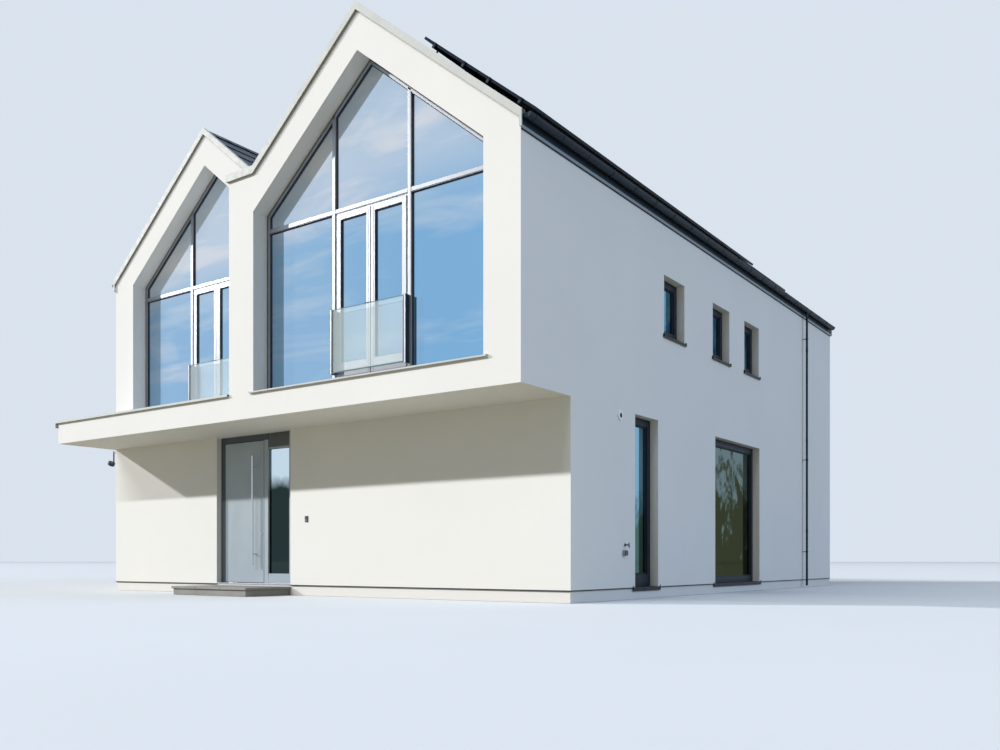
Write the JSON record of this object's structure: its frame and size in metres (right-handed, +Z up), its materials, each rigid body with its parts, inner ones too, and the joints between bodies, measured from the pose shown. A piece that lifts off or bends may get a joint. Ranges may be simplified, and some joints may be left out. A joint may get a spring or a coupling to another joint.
{
  "type": "detached house",
  "caption": "Detached white rendered house with twin glazed gables, a projecting upper bay over a porch, a canopy, roof-mounted solar array and an opening entrance door.",
  "frame": {"origin": "centre of the ground floor's outline, on the level ground under the house", "axes": "+Z up; the entrance front faces -Y; +X is to the right of someone facing the front; +Y runs to the rear"},
  "size_m": [11.0705, 13.28, 8.5],
  "materials": {
    "render": "matt, fine-grained render",
    "plinth": "matt",
    "landing_stone": "matt",
    "roof_deck": "matt",
    "roof_tiles": "satin",
    "dark_metal": "satin",
    "light_metal": "satin",
    "fascia": "satin",
    "glass": "clear",
    "balustrade_glass": "frosted",
    "satin_grey": "satin",
    "anthracite": "satin",
    "steel": "brushed",
    "solar": "gloss",
    "rails": "satin",
    "white_plastic": "matt",
    "brass": "satin",
    "bell": "satin"
  },
  "bodies": {
    "house": {"base_slab": "plinth", "landing": "landing_stone", "front_wall_left": "render", "front_wall_right": "render", "right_wall_ground": "render", "left_wall_ground": "render", "rear_wall_ground": "render", "first_floor": "render", "right_gable_frame": "render", "left_gable_wall": "render", "bay_cheek": "render", "right_wall_upper": "render", "left_wall_upper": "render", "rear_gable_wall": "render", "roof_slabs": "roof_deck", "roof_covering": "roof_tiles", "ridge_caps": "roof_tiles", "valley_lining": "dark_metal", "right_verge": "light_metal", "left_verge": "light_metal", "rear_verge": "light_metal", "canopy_flashing": "light_metal", "gable_glass": "glass", "gable_bars": "satin_grey", "gable_sills": "light_metal", "balustrade_glass": "balustrade_glass", "balustrade_fittings": "steel", "window_glass": "glass", "window_frames": "anthracite", "window_sills": "anthracite", "door_frame": "satin_grey", "door_threshold": "steel", "eave_gutters": "dark_metal", "rain_brackets": "dark_metal", "eave_fascias": "fascia", "downpipes": "dark_metal", "solar_panels": "solar", "solar_rails": "rails", "wall_vent": "white_plastic", "wall_socket": "white_plastic", "garden_tap": "brass", "doorbell": "bell", "side_lamp": "bell"},
    "front_door": {"door_leaf": "satin_grey", "door_pull": "steel"}
  },
  "joints": [
    {"name": "front_door_hinge", "type": "hinge", "parent": "house", "child": "front_door", "pos_m": [-2.0295, -5.806, 1.4], "axis": [0, 0, 1], "range_deg": [0, 90]}
  ]
}
